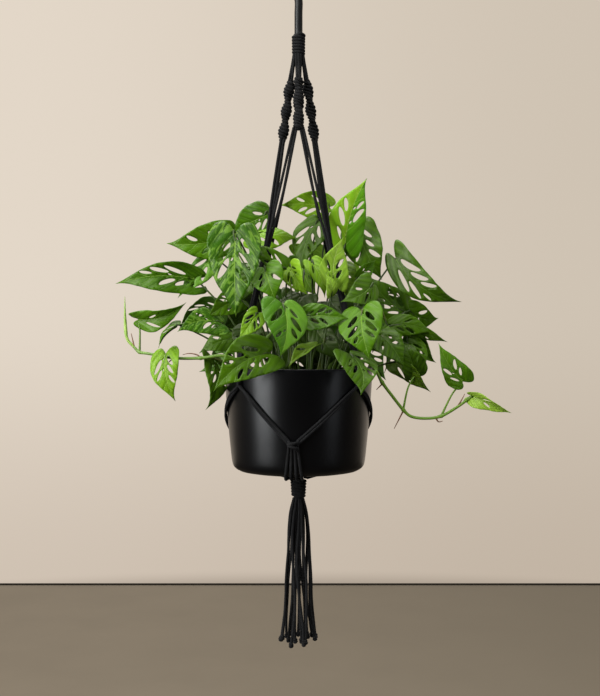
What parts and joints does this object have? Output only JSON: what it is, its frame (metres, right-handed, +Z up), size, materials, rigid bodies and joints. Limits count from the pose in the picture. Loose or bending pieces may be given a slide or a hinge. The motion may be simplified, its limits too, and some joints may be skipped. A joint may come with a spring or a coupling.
{
  "type": "potted monstera in a cord hanger",
  "caption": "Monstera adansonii with holed heart-shaped leaves in a satin black pot, held by a black knotted cord hanger with a tassel on a hooked steel rod.",
  "frame": {"origin": "inner top of the hook, where the whole thing bears on its peg or ceiling hook", "axes": "+Z up along the hanger, -Y to the front, +X to the right seen from the front"},
  "size_m": [0.4766, 0.2511, 0.856],
  "materials": {
    "rod_steel": "smooth dark grey satin",
    "cotton_cord": "twisted matt black cotton cord",
    "pot_metal": "spun, satin black powder coat",
    "potting_soil": "loose dark peat and bark, damp",
    "foliage": "living leaf, waxy and half glossy, from dark green to lime"
  },
  "bodies": {
    "root": {"back_left_shoot": "foliage", "back_middle_shoot": "foliage", "back_right_shoot": "foliage", "centre_shoot": "foliage", "hanging_rod": "rod_steel", "leaf_back_upper_left": "foliage", "leaf_behind_right_cord": "foliage", "leaf_big_mottled": "foliage", "leaf_bluish": "foliage", "leaf_centre_right": "foliage", "leaf_dark_arched": "foliage", "leaf_far_right": "foliage", "leaf_folded_olive": "foliage", "leaf_front_heart": "foliage", "leaf_front_right_heart": "foliage", "leaf_left_long": "foliage", "leaf_left_mottled": "foliage", "leaf_left_narrow": "foliage", "leaf_light_right": "foliage", "leaf_lime_folded": "foliage", "leaf_lime_right": "foliage", "leaf_low_olive": "foliage", "leaf_rim_front_left": "foliage", "leaf_rim_front_right": "foliage", "leaf_rim_left": "foliage", "leaf_round_dark": "foliage", "leaf_small_folded": "foliage", "leaf_small_light": "foliage", "leaf_small_lime": "foliage", "leaf_top_arched": "foliage", "leaf_top_centre": "foliage", "leaf_top_right": "foliage", "leaf_upper_heart": "foliage", "leaf_upper_left": "foliage", "left_vine": "foliage", "lower_wrap": "cotton_cord", "pot": "pot_metal", "right_shoot": "foliage", "right_vine": "foliage", "sennit_back": "cotton_cord", "sennit_front": "cotton_cord", "sennit_left": "cotton_cord", "sennit_right": "cotton_cord", "sling_back_left": "cotton_cord", "sling_back_right": "cotton_cord", "sling_front_left": "cotton_cord", "sling_front_right": "cotton_cord", "soil": "potting_soil", "tails_back": "cotton_cord", "tails_front": "cotton_cord", "tails_left": "cotton_cord", "tails_right": "cotton_cord", "tassel": "cotton_cord", "top_cords": "cotton_cord", "top_wrap": "cotton_cord", "wall_knot_back": "cotton_cord", "wall_knot_front": "cotton_cord", "wall_knot_left": "cotton_cord", "wall_knot_right": "cotton_cord"}
  },
  "joints": []
}
